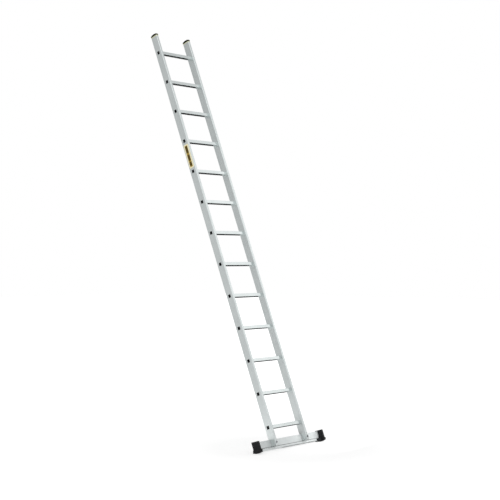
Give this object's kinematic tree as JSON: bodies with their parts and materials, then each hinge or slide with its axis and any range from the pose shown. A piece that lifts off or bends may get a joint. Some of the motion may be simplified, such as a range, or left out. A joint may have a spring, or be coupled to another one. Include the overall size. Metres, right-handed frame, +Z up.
{
  "type": "single section ladder",
  "caption": "Single section ladder: two box stiles with hollow swaged rungs, a wide stabiliser bar on rubber feet and capped stile tops, standing at its working lean.",
  "frame": {"origin": "on the floor, midway between the feet, below the ladder's middle plane", "axes": "+Z up, +X along the rungs to the right as one climbs, +Y to the side that the ladder leans towards"},
  "size_m": [0.857, 1.4201, 3.4829],
  "materials": {
    "stile_aluminium": "mill finish, satin",
    "rung_aluminium": "mill finish, satin, ribbed tread",
    "bar_aluminium": "mill finish, satin",
    "black_rubber": "matt moulded",
    "black_plastic": "matt moulded",
    "cream_plastic": "satin moulded",
    "zinc_steel": "zinc plated",
    "label_film": "printed film, bare"
  },
  "bodies": {
    "root": {"left_stile": "stile_aluminium", "right_stile": "stile_aluminium", "rung_01": "rung_aluminium", "rung_02": "rung_aluminium", "rung_03": "rung_aluminium", "rung_04": "rung_aluminium", "rung_05": "rung_aluminium", "rung_06": "rung_aluminium", "rung_07": "rung_aluminium", "rung_08": "rung_aluminium", "rung_09": "rung_aluminium", "rung_10": "rung_aluminium", "rung_11": "rung_aluminium", "rung_12": "rung_aluminium", "rung_13": "rung_aluminium", "stabiliser_bar": "bar_aluminium", "left_foot": "black_rubber", "right_foot": "black_rubber", "left_end_plug": "cream_plastic", "right_end_plug": "cream_plastic", "left_top_cap": "black_plastic", "right_top_cap": "black_plastic", "stabiliser_bolts": "zinc_steel", "stabiliser_nuts": "zinc_steel", "bolt_washers": "zinc_steel", "bolt_sleeves": "zinc_steel"}
  },
  "joints": []
}
